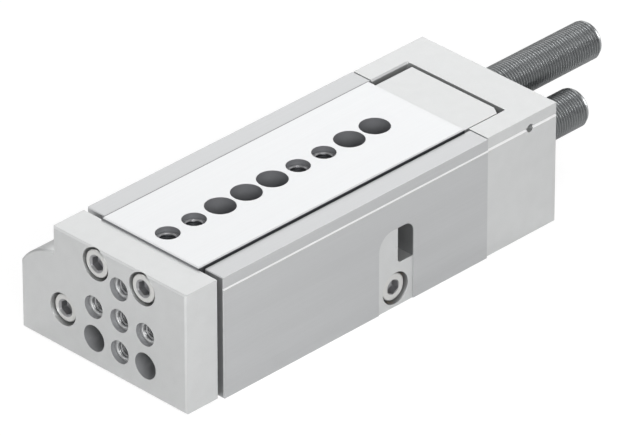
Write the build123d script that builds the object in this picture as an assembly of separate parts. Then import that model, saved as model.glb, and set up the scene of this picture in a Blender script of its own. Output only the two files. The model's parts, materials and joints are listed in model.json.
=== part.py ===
from build123d import *
from math import acos, cos, radians, sin, sqrt
import os

# Pneumatic mini slide, drawn with its slide retracted. Millimetres.
# +X is the direction of advance, +Z is up, and the origin is the middle of the
# housing's base face, under the centre line of the slide. Heights are stacked up
# from the base face, and widths are laid out from the slide to either side.

# Travel
stroke = 50.0
plunger_stroke = 14.0

# Stack of heights
base_wall = 0.95
clamp_bore_radius = 5.0
clamp_to_absorber = 9.45
absorber_step = 8.8
slide_over_absorber = 3.5
slide_thickness = 11.6
slide_proud = 0.9

# Housing
housing_length = 103.0
strip_width = 7.0
wing_roof = 9.2
wing_flat = 2.65
wing_arc_shift = 1.9
wing_arc_drop = 0.35
edge_break = 0.25
groove_below_top = 3.7
groove_depth = 0.35

# Rear block
rear_wall = 13.25
rear_rise = 0.2
rear_base = 0.3
rear_inset = 0.35
rear_groove_depth = 0.5
pocket_right_inset = 0.65
pocket_left_inset = 0.45
pocket_gap = 1.1
pocket_chamfer = 0.5
pin_hole_radius = 1.25
pin_hole_depth = 4.0
pin_hole_from_seam = 17.0

# Yoke plate
yoke_thickness = 11.85
yoke_gap = 1.85
yoke_inset = 0.55
yoke_base = 0.8
yoke_rise = 0.1
yoke_chamfer = 0.5

# Slide bar and the end piece behind it
slide_half_width = 18.85
slide_flange = 3.0
slide_flange_reach = 1.95
slide_setback = 1.8
slide_side_gap = 0.5
slide_floor_gap = 0.4
slide_edge_break = 0.3
end_piece_length = 15.2
end_gap_right = 0.5
end_gap_left = 2.5
end_piece_drop = 0.85
end_piece_rise = 0.5
end_corner_x = 1.65
end_corner_y = 2.7
lug_wall = 1.15
lug_gap = 0.5

# Hole patterns on a 10 mm grid
grid = 10.0
first_slide_hole = 6.75
slide_hole_row = "TTBBBTTBB"
centring_radius = 3.5
centring_depth = 1.8
tap_radius = 2.5
tap_depth = 8.5
access_radius = 4.5
yoke_bore_radius = 4.0
yoke_cross_drop = 14.0

# Crossed roller guide
roller_radius = 1.5
roller_length = 2.9
raceway_clearance = 0.05
roller_pitch = 5.0
raceway_rise = 4.3
raceway_gap = 1.4
rail_thickness = 2.7
rail_height = 7.6
cage_length = 46.0
cage_thickness = 0.7
cage_height = 6.0
cage_corner = 1.0
cage_end_margin = 3.0
cage_window_clearance = 0.07
stop_pin_radius = 0.8
stop_pin_length = 2.6
stop_pin_gap = 0.3

# Cylinder in the wing
bore_beside_absorber = 13.25
bore_below_absorber = 10.75
bore_radius = 8.0
fit_gap = 0.03
rod_radius = 4.0
running_gap = 0.05
bearing_length = 10.7
nose_step = 2.0
nose_length = 4.0
piston_length = 12.0
piston_gap = 0.15
piston_end_gap = 0.5
piston_groove_depth = 1.55
piston_seal_width = 2.2
magnet_inset = 0.25
magnet_width = 3.0
port_radius = 2.5
port_depth = 5.0
port_drill_radius = 1.5
seal_ring_side = 1.5
ring_thickness = 1.0
ring_rim = 0.5
ring_depth = 0.2
ring_opening = 50.0
wiper_width = 2.0
wiper_depth = 1.5

# Shock absorbers
absorber_radius = 6.0
absorber_length = 98.0
absorber_neck_radius = 5.3
absorber_neck_length = 1.5
absorber_chamfer = 0.7
absorber_key = 5.0
absorber_key_depth = 4.0
advance_y = -8.9
absorber_spread = 13.2
advance_overhang = 50.2
retract_overhang = 31.0
thread_gap = 0.05
absorber_bore_gap = 0.1
absorber_pass_gap = 0.3
absorber_relief_gap = 0.4
plunger_radius = 2.5
plunger_chamfer = 0.6
plunger_seat = 0.4
plunger_guide = 6.6
stop_gap = 0.3
stop_pad_radius = 2.9
stop_pad_thickness = 2.7
stop_pad_proud = 0.2
lock_nut_flats = 15.0
lock_nut_thickness = 5.0

# Stop lug under the slide bar
stop_lug_half_width = 6.4
stop_lug_shift = 2.4
stop_lug_below = 4.4
stop_lug_length = 9.0
stop_lug_gap = 0.5
stop_lug_screw_setback = 5.0
stop_lug_screw_spacing = 6.2

# Clamp in the visible side
clamp_behind_nose = 2.85
clamp_recess_width = 13.5
clamp_recess_depth = 0.3
clamp_recess_below_groove = 9.5
clamp_recess_front_corner = 5.2
clamp_recess_rear_corner = 3.4
clamp_bush_gap = 0.05
clamp_bush_length = 18.8
clamp_bore_end_gap = 1.5
clamp_screw_set = 0.85
side_slot_width = 5.85
side_slot_length = 11.5
side_slot_depth = 9.0
side_slot_corner = 1.2

# Screws: shank radius, head radius, head height, key across flats, key depth
m5 = (2.45, 4.25, 5.0, 4.0, 2.5)
m4 = (1.95, 3.5, 4.0, 3.0, 2.0)
m3 = (1.45, 2.75, 3.0, 2.5, 1.6)
screw_clearance = 0.3
head_clearance = 0.25
head_chamfer = 0.35
counterbore_radius = 5.0
yoke_screw_set = 0.4
rod_screw_set = 0.9
front_screw_length = 20.0
slide_screw_y = 9.05
slide_screw_drop = 5.85
end_screw_y = 10.0
end_screw_drop = 4.7
end_screw_length = 20.0
piston_screw_length = 18.0
lug_screw_length = 20.0
clamp_screw_length = 30.0
rear_screw_length = 34.0
rear_screw_set = 0.4
rear_screw_edge = 5.35
rear_screw_below_trough = 4.8
rear_screw_height = 6.0
wing_screw_ring = 4.75
wing_screw_turns = (120.0, -41.0)
dowel_radius = 1.5
dowel_length = 8.0
dowel_edge = 4.8
dowel_beside_absorber = 10.7
dowel_height = 4.5

# Base fixings
base_spacing_x = 70.0
base_spacing_y = 25.0
base_row_y = -7.5
base_tap_depth = 8.0
base_recess_depth = 1.6
through_radius = 2.75
through_seat = 3.6
through_head_radius = 4.75

# Sensor slots in the wing
sensor_slot_radius = 2.1
sensor_slot_opening = 2.6
sensor_slot_depth = 2.7
sensor_slot_offset = 6.1

# Heights worked out from the stack
clamp_z = base_wall + clamp_bore_radius
retract_z = clamp_z + clamp_to_absorber
advance_z = retract_z + absorber_step
bore_z = advance_z - bore_below_absorber
wing_arc_z = bore_z - wing_arc_drop
sensor_slot_heights = (wing_arc_z - sensor_slot_offset, wing_arc_z + sensor_slot_offset)
slide_bottom = advance_z + slide_over_absorber
slide_top = slide_bottom + slide_thickness
flange_bottom = slide_top - slide_flange
trough_floor = slide_bottom - slide_floor_gap
housing_height = slide_top - slide_proud
rear_height = housing_height + rear_rise
yoke_top = housing_height + yoke_rise
groove_height = housing_height - groove_below_top
end_top = slide_top - end_piece_drop
end_bottom = slide_bottom + end_piece_rise
roller_z = slide_bottom + raceway_rise
slide_screw_z = slide_top - slide_screw_drop
end_screw_z = slide_top - end_screw_drop
yoke_cross_height = slide_screw_z - yoke_cross_drop
clamp_recess_top = groove_height - clamp_recess_below_groove
side_slot_floor = clamp_recess_top - side_slot_length
stop_lug_bottom = retract_z - stop_lug_below
lug_channel_floor = stop_lug_bottom - stop_lug_gap

# Widths worked out from the slide and the absorbers
trough_half_width = slide_half_width + slide_side_gap
housing_half_width = trough_half_width + strip_width
yoke_half_width = housing_half_width - yoke_inset
pocket_right = trough_half_width - pocket_right_inset
pocket_left = trough_half_width - pocket_left_inset
end_piece_right = pocket_right - end_gap_right
end_piece_left = pocket_left - end_gap_left
slide_web_half_width = slide_half_width - slide_flange_reach
roller_y = slide_web_half_width + raceway_gap / 2
race_half = roller_radius + raceway_clearance
rail_inner = slide_web_half_width + raceway_gap
rail_outer = rail_inner + rail_thickness
retract_y = advance_y + absorber_spread
bore_y = advance_y - bore_beside_absorber
wing_arc_y = bore_y - wing_arc_shift
wing_arc_radius = bore_radius + wing_roof
wing_reach = wing_arc_radius - wing_flat - wing_arc_y
lug_radius = absorber_radius + lug_wall
channel_radius = lug_radius + lug_gap
stop_lug_y = retract_y + stop_lug_shift
lug_screw_rows = [stop_lug_y + side * stop_lug_screw_spacing / 2 for side in (-1, 1)]
piston_radius = bore_radius - piston_gap
piston_groove_radius = piston_radius - piston_groove_depth
magnet_radius = piston_radius - magnet_inset
bearing_nose_radius = bore_radius - nose_step
seal_ring_inner = bore_radius - fit_gap - seal_ring_side
clamp_face = housing_half_width - clamp_recess_depth
clamp_head_top = clamp_face - clamp_screw_set
clamp_seat = clamp_head_top - m5[2]
clamp_bush_end = clamp_seat - clamp_bush_length

# Lengths worked out from the housing's ends
front = housing_length / 2
rear = -housing_length / 2
yoke_back = front + yoke_gap
yoke_front = yoke_back + yoke_thickness
slide_rear = rear + slide_setback
end_rear = slide_rear - end_piece_length
end_screw_seat = end_rear + m3[2] + rear_screw_set
pocket_back = end_rear - pocket_gap
rear_back = pocket_back - rear_wall
rear_screw_seat = rear_back + m4[2] + rear_screw_set
yoke_screw_seat = yoke_front - m5[2] - yoke_screw_set
rod_screw_seat = yoke_front - m5[2] - rod_screw_set
cage_middle = (slide_rear + front) / 2
cage_drift = stroke / 2
advance_front = rear_back - advance_overhang + absorber_length
retract_front = rear_back - retract_overhang + absorber_length
clamp_x = retract_front - clamp_behind_nose
stop_pad_face = advance_front + stroke + plunger_seat + stop_gap
channel_end = stop_pad_face + stop_pad_proud
stop_lug_rear = retract_front + plunger_seat + stop_gap
stop_lug_front = stop_lug_rear + stop_lug_length
lug_screw_x = stop_lug_rear + stop_lug_screw_setback
lug_channel_front = stop_lug_front + stroke + stop_lug_gap
bearing_front = front - ring_rim - ring_thickness
bearing_back = bearing_front - bearing_length
front_chamber = bearing_back - nose_length
piston_front = front_chamber - piston_end_gap - stroke
piston_back = piston_front - piston_length
rear_chamber = piston_back - piston_end_gap
bearing_seal_x = (bearing_back + bearing_front) / 2
end_cap_seal_x = rear_chamber - nose_length - bearing_length / 2
slide_hole_places = [yoke_back - first_slide_hole - grid * n for n in range(len(slide_hole_row))]
tapped_places = [x for x, kind in zip(slide_hole_places, slide_hole_row) if kind == "T"]
access_places = [x for x, kind in zip(slide_hole_places, slide_hole_row) if kind == "B"]

# Places of the rear block's screws and dowels in its end face, across and up
rear_screw_y = housing_half_width - rear_screw_edge
rear_screw_places = [
    (rear_screw_y, trough_floor - rear_screw_below_trough),
    (rear_screw_y, rear_screw_height),
]
for turn in wing_screw_turns:
    ring = bore_radius + wing_screw_ring
    rear_screw_places.append((bore_y + ring * cos(radians(turn)), bore_z + ring * sin(radians(turn))))
dowel_places = [
    (dowel_edge - wing_reach, bore_z),
    (retract_y + dowel_beside_absorber, dowel_height),
]


def block(x, y, z):
    """A box between two limits along each axis."""
    size = [abs(pair[1] - pair[0]) for pair in (x, y, z)]
    middle = [(pair[1] + pair[0]) / 2 for pair in (x, y, z)]
    return Pos(*middle) * Box(*size)


def bar_x(radius, x, y, z):
    """A round bar along X, between two limits."""
    return Pos((x[0] + x[1]) / 2, y, z) * Rot(0, 90, 0) * Cylinder(radius, abs(x[1] - x[0]))


def bar_y(radius, x, y, z):
    """A round bar along Y, between two limits."""
    return Pos(x, (y[0] + y[1]) / 2, z) * Rot(90, 0, 0) * Cylinder(radius, abs(y[1] - y[0]))


def bar_z(radius, x, y, z):
    """A round bar along Z, between two limits."""
    return Pos(x, y, (z[0] + z[1]) / 2) * Cylinder(radius, abs(z[1] - z[0]))


def section_x(face, x):
    """A section drawn in Y and Z, drawn out along X between two limits."""
    return extrude(Plane.YZ.offset(min(x)) * face, amount=abs(x[1] - x[0]))


def body_outline(half_width, reach, base, top):
    """The shared end view: a square body with a low wing whose top is an arc."""
    side_z = wing_arc_z + sqrt(wing_arc_radius**2 - (reach + wing_arc_y) ** 2)
    step_z = wing_arc_z + sqrt(wing_arc_radius**2 - (half_width + wing_arc_y) ** 2)
    start = acos((-half_width - wing_arc_y) / wing_arc_radius)
    finish = acos((-reach - wing_arc_y) / wing_arc_radius)
    half_way = (start + finish) / 2
    crown = (
        wing_arc_y + wing_arc_radius * cos(half_way),
        wing_arc_z + wing_arc_radius * sin(half_way),
    )
    straight = Polyline(
        (-reach, side_z),
        (-reach, base),
        (half_width, base),
        (half_width, top),
        (-half_width, top),
        (-half_width, step_z),
    )
    arch = ThreePointArc((-half_width, step_z), crown, (-reach, side_z))
    return make_face(straight + arch)


def side_groove(half_width, depth, x):
    """The square V groove that runs along the visible side."""
    outside = half_width + depth
    rise = 2 * depth
    groove = Polyline(
        (half_width - depth, groove_height),
        (outside, groove_height + rise),
        (outside, groove_height - rise),
        close=True,
    )
    return section_x(make_face(groove), x)


def cap_screw(sizes, length):
    """A socket head cap screw along Z, with the underside of its head at zero."""
    shank, head, height, key, key_depth = sizes
    screw = bar_z(head, 0, 0, (0, height))
    screw = chamfer(screw.edges().group_by(Axis.Z)[-1], head_chamfer)
    screw += bar_z(shank, 0, 0, (-length, head_chamfer))
    hexagon = RegularPolygon(key / 2, 6, major_radius=False)
    return screw - extrude(Plane.XY.offset(height - key_depth) * hexagon, amount=key_depth)


def screw_forward(sizes, length, seat, y, z):
    """A cap screw whose head faces the front."""
    return Pos(seat, y, z) * Rot(0, 90, 0) * cap_screw(sizes, length)


def screw_rearward(sizes, length, seat, y, z):
    """A cap screw whose head faces the rear."""
    return Pos(seat, y, z) * Rot(0, -90, 0) * cap_screw(sizes, length)


def group(solids):
    """Several like solids kept together as one node."""
    return Compound(children=[Part(solid.wrapped) for solid in solids])


def ring_x(outer, inner, x, y, z):
    """A plain ring along X."""
    return bar_x(outer, x, y, z) - bar_x(inner, x, y, z)


def seal_ring_limits(x):
    """Both sides of a sealing ring, and of its groove, round a middle."""
    return (x - seal_ring_side / 2, x + seal_ring_side / 2)


def seal_ring(x):
    """A square-section ring that seals a plug in the cylinder's bore."""
    return ring_x(bore_radius - fit_gap, seal_ring_inner, seal_ring_limits(x), bore_y, bore_z)


def raceway(side, x):
    """The square channel that the two V grooves of one side make together."""
    channel = Rectangle(2 * race_half, 2 * race_half, rotation=45)
    return section_x(Pos(side * roller_y, roller_z) * channel, x)


def housing():
    body = section_x(
        body_outline(housing_half_width, wing_reach, 0, housing_height), (rear, front)
    )
    ends = body.edges().filter_by(Axis.X, reverse=True)
    body = chamfer(ends, edge_break)
    body -= block((rear, front), (-trough_half_width, trough_half_width), (trough_floor, slide_top))
    for side in (-1, 1):
        seat_low = roller_z - rail_height / 2
        seat = (side * trough_half_width, side * rail_outer)
        body -= block((rear, front), seat, (seat_low, seat_low + rail_height))
    body -= side_groove(housing_half_width, groove_depth, (rear, front))
    body -= bar_x(channel_radius, (rear, channel_end), advance_y, advance_z)
    neck = (advance_y - channel_radius, advance_y + channel_radius)
    body -= block((rear, channel_end), neck, (advance_z, trough_floor))
    pad_seat = stop_pad_face + stop_pad_thickness
    body -= bar_x(stop_pad_radius + fit_gap, (channel_end, pad_seat), advance_y, advance_z)
    lane_half = stop_lug_half_width + stop_lug_gap
    lane = (stop_lug_y - lane_half, stop_lug_y + lane_half)
    body -= block((retract_front, lug_channel_front), lane, (lug_channel_floor, trough_floor))
    bore = absorber_radius + absorber_bore_gap
    body -= bar_x(bore, (rear, retract_front), retract_y, retract_z)
    body -= cylinder_cuts()
    body -= clamp_cuts()
    body -= base_cuts()
    for y, z in rear_screw_places:
        tip = rear_screw_seat + rear_screw_length
        body -= bar_x(m4[0] + thread_gap, (rear, tip + thread_gap), y, z)
    for y, z in dowel_places:
        body -= bar_x(dowel_radius + fit_gap, (rear, rear + dowel_length / 2), y, z)
    return body


def cylinder_cuts():
    """The bore, the retaining ring's groove, both ports and the sensor slots."""
    cuts = bar_x(bore_radius, (rear, front), bore_y, bore_z)
    ring_at = (front - ring_rim - ring_thickness, front - ring_rim)
    cuts += bar_x(bore_radius + ring_depth * 2, ring_at, bore_y, bore_z)
    for x in (bearing_back - nose_length / 2, rear_chamber - nose_length / 2):
        cuts += bar_y(port_radius, x, (-wing_reach, -wing_reach + port_depth), bore_z)
        cuts += bar_y(port_drill_radius, x, (-wing_reach, bore_y), bore_z)
    for height in sensor_slot_heights:
        middle = -wing_reach + sensor_slot_depth
        cuts += bar_x(sensor_slot_radius, (rear, front), middle, height)
        half = sensor_slot_opening / 2
        cuts += block((rear, front), (-wing_reach, middle), (height - half, height + half))
    return cuts


def side_pocket(width, depth, height, corners):
    """A pocket milled into the visible side, with some of its corners rounded."""
    pocket = block(width, depth, height)
    for x, z, radius in corners:
        across = pocket.edges().filter_by(Axis.Y)
        pocket = fillet(across.sort_by_distance((x, depth[0], z))[0], radius)
    return pocket


def clamp_cuts():
    """The shallow recess, the deep slot in its rear corner and the clamp's bore."""
    rear_edge = clamp_x - clamp_recess_width / 2
    rear_corner = (rear_edge, clamp_recess_top, clamp_recess_rear_corner)
    width = (rear_edge, rear_edge + clamp_recess_width)
    shallow = (clamp_face, housing_half_width + clamp_recess_depth)
    corners = [rear_corner, (width[1], clamp_recess_top, clamp_recess_front_corner)]
    cuts = side_pocket(width, shallow, (0, clamp_recess_top), corners)
    width = (rear_edge, rear_edge + side_slot_width)
    deep = (clamp_face - side_slot_depth, clamp_face)
    corners = [rear_corner, (width[1], side_slot_floor, side_slot_corner)]
    cuts += side_pocket(width, deep, (side_slot_floor, clamp_recess_top), corners)
    blind = clamp_bush_end - clamp_bore_end_gap
    cuts += bar_y(clamp_bore_radius, clamp_x, (blind, clamp_face), clamp_z)
    tip = clamp_seat - clamp_screw_length
    cuts += bar_y(m5[0] + thread_gap, clamp_x, (tip - thread_gap, clamp_face), clamp_z)
    return cuts


def base_cuts():
    """Tapped holes with centring recesses, and two holes for screws from above."""
    cuts = []
    for x in (-base_spacing_x / 2, base_spacing_x / 2):
        for y in (base_row_y, base_row_y + base_spacing_y):
            cuts.append(bar_z(tap_radius, x, y, (0, base_tap_depth)))
            cuts.append(bar_z(centring_radius, x, y, (0, base_recess_depth)))
    for x in (access_places[0], access_places[2]):
        cuts.append(bar_z(through_radius, x, 0, (0, lug_channel_floor)))
        cuts.append(bar_z(through_head_radius, x, 0, (through_seat, trough_floor)))
    return cuts


def rear_block():
    half = housing_half_width - rear_inset
    outline = body_outline(half, wing_reach - rear_inset, rear_base, rear_height)
    body = section_x(outline, (rear_back, rear))
    body = chamfer(body.faces().sort_by(Axis.X)[0].outer_wire().edges(), edge_break)
    opening = (-pocket_left, pocket_right)
    body -= block((pocket_back, rear), opening, (trough_floor, rear_height))
    bevel = Polyline(
        (-pocket_left, rear_height - pocket_chamfer),
        (-pocket_left, rear_height),
        (-pocket_left - pocket_chamfer, rear_height),
        close=True,
    )
    body -= section_x(make_face(bevel), (pocket_back, rear))
    body -= bar_x(channel_radius, (pocket_back, rear), advance_y, advance_z)
    neck = (advance_y - channel_radius, advance_y + channel_radius)
    body -= block((pocket_back, rear), neck, (advance_z, trough_floor))
    body -= bar_x(absorber_radius + absorber_pass_gap, (rear_back, rear), advance_y, advance_z)
    body -= bar_x(absorber_radius + thread_gap, (rear_back, rear), retract_y, retract_z)
    body -= side_groove(half, rear_groove_depth, (rear_back, rear))
    pin_x = rear - pin_hole_from_seam
    body -= bar_y(pin_hole_radius, pin_x, (half - pin_hole_depth, half), groove_height)
    for y, z in rear_screw_places:
        body -= bar_x(m4[1] + head_clearance, (rear_back, rear_screw_seat), y, z)
        body -= bar_x(m4[0] + screw_clearance, (rear_back, rear), y, z)
    for y, z in dowel_places:
        body -= bar_x(dowel_radius + fit_gap, (rear - dowel_length / 2, rear), y, z)
    return body


def rear_block_screws():
    sizes = (m4, rear_screw_length, rear_screw_seat)
    return group([screw_rearward(*sizes, y, z) for y, z in rear_screw_places])


def rear_block_dowels():
    ends = (rear - dowel_length / 2, rear + dowel_length / 2)
    return group([bar_x(dowel_radius, ends, y, z) for y, z in dowel_places])


def guide_rail(side):
    """A hardened raceway strip let into the wall of the trough."""
    rail = block(
        (rear, front),
        (side * rail_inner, side * rail_outer),
        (roller_z - rail_height / 2, roller_z + rail_height / 2),
    )
    rail -= raceway(side, (rear, front))
    for x in cage_stop_places():
        pin = (side * rail_inner, side * (rail_inner + stop_pin_length))
        rail -= bar_y(stop_pin_radius + fit_gap, x, pin, roller_z)
    return rail


def cage_stop_places():
    """The cage stops just clear of the cage's travel, one at each end."""
    off = cage_length / 2 + stop_pin_gap + stop_pin_radius
    return (cage_middle - off, cage_middle + cage_drift + off)


def cage_stop_pins():
    """Short pins that keep the roller cages between the ends of the rails."""
    pins = []
    proud = cage_thickness + (raceway_gap - cage_thickness) / 4
    for side in (-1, 1):
        ends = (side * (rail_inner - proud), side * (rail_inner + stop_pin_length))
        pins += [bar_y(stop_pin_radius, x, ends, roller_z) for x in cage_stop_places()]
    return group(pins)


def roller_places():
    room = cage_length - 2 * cage_end_margin
    count = int(room / roller_pitch) + 1
    start = cage_middle - roller_pitch * (count - 1) / 2
    return [start + roller_pitch * n for n in range(count)]


def roller_cage(side):
    """A thin strip with rounded corners and one window for each roller."""
    strip = RectangleRounded(cage_length, cage_height, cage_corner)
    cage = Pos(cage_middle, side * roller_y, roller_z) * Rot(90, 0, 0) * extrude(
        strip, amount=cage_thickness / 2, both=True
    )
    thickness = (side * roller_y - cage_thickness, side * roller_y + cage_thickness)
    half_length = roller_radius + cage_window_clearance
    half_height = (roller_radius + roller_length / 2) * sin(radians(45)) + cage_window_clearance
    height = (roller_z - half_height, roller_z + half_height)
    for x in roller_places():
        cage -= block((x - half_length, x + half_length), thickness, height)
    return cage


def rollers(side):
    """Rollers crossed by turns, so that each one leans the other way from the next."""
    row = []
    for n, x in enumerate(roller_places()):
        lean = Rot(45 if n % 2 else -45, 0, 0)
        row.append(Pos(x, side * roller_y, roller_z) * lean * Cylinder(roller_radius, roller_length))
    return group(row)


def slide_bar():
    web = Rectangle(2 * slide_web_half_width, slide_thickness)
    section = Pos(0, slide_bottom + slide_thickness / 2) * web
    flange = Rectangle(2 * slide_half_width, slide_flange)
    section += Pos(0, slide_top - slide_flange / 2) * flange
    bar = section_x(section, (slide_rear, yoke_back))
    rims = bar.edges().group_by(Axis.Z)[-1]
    bar = chamfer(rims, slide_edge_break)
    for side in (-1, 1):
        bar -= raceway(side, (slide_rear, yoke_back))
        tip = yoke_screw_seat - front_screw_length
        bar -= bar_x(
            m5[0] + thread_gap, (tip - thread_gap, yoke_back), side * slide_screw_y, slide_screw_z
        )
    tip = end_screw_seat + end_screw_length
    for y in (-end_screw_y, end_screw_y):
        bar -= bar_x(m3[0] + thread_gap, (slide_rear, tip + thread_gap), y, end_screw_z)
    tip = stop_lug_bottom + m3[2] + lug_screw_length
    for y in lug_screw_rows:
        bar -= bar_z(m3[0] + thread_gap, lug_screw_x, y, (slide_bottom, tip + thread_gap))
    for x in tapped_places:
        bar -= bar_z(centring_radius, x, 0, (slide_top - centring_depth, slide_top))
        bar -= bar_z(tap_radius, x, 0, (slide_top - tap_depth, slide_top))
    for x in access_places:
        bar -= bar_z(access_radius, x, 0, (slide_bottom, slide_top))
    relief = absorber_radius + absorber_relief_gap
    relief_end = advance_front + absorber_relief_gap
    return bar - bar_x(relief, (slide_rear, relief_end), advance_y, advance_z)


def end_piece():
    """The rear end of the carriage, with a lug that holds the travelling absorber."""
    shoulder = flange_bottom
    body = block(
        (end_rear, slide_rear), (-end_piece_left, slide_web_half_width), (end_bottom, end_top)
    )
    body += block((end_rear, slide_rear), (-end_piece_left, end_piece_right), (shoulder, end_top))
    body += bar_x(lug_radius, (end_rear, slide_rear), advance_y, advance_z)
    sides = (advance_y - lug_radius, advance_y + lug_radius)
    body += block((end_rear, slide_rear), sides, (advance_z, end_bottom))
    corner = Polyline(
        (end_rear, end_piece_right - end_corner_y),
        (end_rear + end_corner_x, end_piece_right),
        (end_rear, end_piece_right),
        close=True,
    )
    body -= extrude(Plane.XY.offset(end_bottom) * make_face(corner), amount=end_top - end_bottom)
    body -= bar_x(absorber_radius + thread_gap, (end_rear, slide_rear), advance_y, advance_z)
    for y in (-end_screw_y, end_screw_y):
        body -= bar_x(m3[1] + head_clearance, (end_rear, end_screw_seat), y, end_screw_z)
        body -= bar_x(m3[0] + screw_clearance, (end_rear, slide_rear), y, end_screw_z)
    return body


def end_piece_screws():
    places = [(end_screw_seat, y, end_screw_z) for y in (-end_screw_y, end_screw_y)]
    return group([screw_rearward(m3, end_screw_length, *place) for place in places])


def front_counterbore(seat, y, z):
    """A counterbored clearance hole through the yoke plate."""
    hole = bar_x(m5[0] + screw_clearance, (yoke_back, yoke_front), y, z)
    return hole + bar_x(counterbore_radius, (seat, yoke_front), y, z)


def yoke_plate():
    plate = section_x(
        body_outline(yoke_half_width, wing_reach, yoke_base, yoke_top), (yoke_back, yoke_front)
    )
    plate = chamfer(plate.faces().sort_by(Axis.X)[-1].outer_wire().edges(), yoke_chamfer)
    for side in (-1, 1):
        plate -= front_counterbore(yoke_screw_seat, side * slide_screw_y, slide_screw_z)
        bore_at = (side * grid, yoke_cross_height - grid)
        plate -= bar_x(yoke_bore_radius, (yoke_back, yoke_front), *bore_at)
    plate -= front_counterbore(rod_screw_seat, bore_y, bore_z)
    for across, up in ((0, 0), (-1, 0), (1, 0), (0, -1), (0, 1)):
        y = across * grid
        z = yoke_cross_height + up * grid
        plate -= bar_x(tap_radius, (yoke_back, yoke_front), y, z)
        plate -= bar_x(centring_radius, (yoke_front - centring_depth, yoke_front), y, z)
    return plate


def yoke_screws():
    sizes = (m5, front_screw_length, yoke_screw_seat)
    return group([screw_forward(*sizes, side * slide_screw_y, slide_screw_z) for side in (-1, 1)])


def rod_screw():
    return screw_forward(m5, front_screw_length, rod_screw_seat, bore_y, bore_z)


def piston_rod():
    rod = bar_x(rod_radius, (piston_front, yoke_back), bore_y, bore_z)
    tip = rod_screw_seat - front_screw_length
    rod -= bar_x(m5[0] + thread_gap, (tip - thread_gap, yoke_back), bore_y, bore_z)
    tip = piston_back + m4[2] + piston_screw_length
    return rod - bar_x(m4[0] + thread_gap, (piston_front, tip + thread_gap), bore_y, bore_z)


def piston_seal_places():
    edge = piston_seal_width * 1.25
    return (piston_back + edge, piston_front - edge)


def piston():
    body = bar_x(piston_radius, (piston_back, piston_front), bore_y, bore_z)
    for x in piston_seal_places():
        groove = (x - piston_seal_width / 2, x + piston_seal_width / 2)
        body -= ring_x(bore_radius, piston_groove_radius, groove, bore_y, bore_z)
    body -= ring_x(bore_radius, piston_groove_radius, magnet_limits(), bore_y, bore_z)
    body -= bar_x(m4[0] + screw_clearance, (piston_back, piston_front), bore_y, bore_z)
    seat = (piston_back, piston_back + m4[2])
    return body - bar_x(m4[1] + head_clearance, seat, bore_y, bore_z)


def magnet_limits():
    middle = (piston_back + piston_front) / 2
    return (middle - magnet_width / 2, middle + magnet_width / 2)


def piston_seals():
    rings = []
    for x in piston_seal_places():
        width = (x - piston_seal_width / 2, x + piston_seal_width / 2)
        rings.append(
            ring_x(bore_radius - running_gap, piston_groove_radius, width, bore_y, bore_z)
        )
    return group(rings)


def piston_magnet():
    return ring_x(magnet_radius, piston_groove_radius, magnet_limits(), bore_y, bore_z)


def piston_screw():
    return screw_rearward(m4, piston_screw_length, piston_back + m4[2], bore_y, bore_z)


def wiper_limits():
    start = bearing_front - wiper_width / 2
    return (start - wiper_width, start)


def rod_bearing():
    """The bearing bush that closes the front of the cylinder."""
    body = bar_x(bore_radius - fit_gap, (bearing_back, bearing_front), bore_y, bore_z)
    body += bar_x(bearing_nose_radius, (front_chamber, bearing_back), bore_y, bore_z)
    groove = seal_ring_limits(bearing_seal_x)
    body -= ring_x(bore_radius, seal_ring_inner, groove, bore_y, bore_z)
    body -= bar_x(rod_radius + running_gap, (front_chamber, bearing_front), bore_y, bore_z)
    return body - bar_x(rod_radius + wiper_depth, wiper_limits(), bore_y, bore_z)


def rod_wiper():
    outer = rod_radius + wiper_depth
    return ring_x(outer - fit_gap, rod_radius + running_gap, wiper_limits(), bore_y, bore_z)


def retaining_ring():
    """An open ring that holds the bearing bush in its bore."""
    limits = (bearing_front, bearing_front + ring_thickness)
    ring = ring_x(bore_radius + ring_depth, bearing_nose_radius, limits, bore_y, bore_z)
    half = bore_radius * sin(radians(ring_opening / 2))
    gap = block(limits, (bore_y - half, bore_y + half), (bore_z, bore_z + 2 * bore_radius))
    return ring - gap


def cylinder_end_cap():
    """The plug that closes the rear of the cylinder, held by the rear block."""
    shoulder = rear_chamber - nose_length
    body = bar_x(bore_radius - fit_gap, (rear, shoulder), bore_y, bore_z)
    body += bar_x(bearing_nose_radius, (shoulder, rear_chamber), bore_y, bore_z)
    groove = seal_ring_limits(end_cap_seal_x)
    return body - ring_x(bore_radius, seal_ring_inner, groove, bore_y, bore_z)


def absorber(x, y, z):
    """The threaded body of a shock absorber, with its key at the rear end."""
    start = x - absorber_length
    body = bar_x(absorber_radius, (start, x - absorber_neck_length), y, z)
    body = chamfer(body.edges().group_by(Axis.X)[0], absorber_chamfer)
    body += bar_x(absorber_neck_radius, (x - absorber_neck_length, x), y, z)
    guide = plunger_guide + plunger_stroke + plunger_seat
    body -= bar_x(plunger_radius + running_gap, (x - guide, x), y, z)
    hexagon = RegularPolygon(absorber_key / 2, 6, major_radius=False)
    key = Pos(0, y, z) * Plane.YZ.offset(start) * hexagon
    return body - extrude(key, amount=absorber_key_depth)


def plunger(nose, y, z):
    """A plunger with a bevelled nose, whose length stays inside its absorber."""
    length = plunger_guide + plunger_stroke + plunger_seat
    body = bar_x(plunger_radius, (nose - length, nose), y, z)
    return chamfer(body.edges().group_by(Axis.X)[-1], plunger_chamfer)


def absorber_lock_nut():
    hexagon = RegularPolygon(lock_nut_flats / 2, 6, major_radius=False)
    face = Plane.YZ.offset(rear_back - lock_nut_thickness) * Pos(retract_y, retract_z) * hexagon
    nut = extrude(face, amount=lock_nut_thickness)
    limits = (rear_back - lock_nut_thickness, rear_back)
    return nut - bar_x(absorber_radius + thread_gap, limits, retract_y, retract_z)


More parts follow.
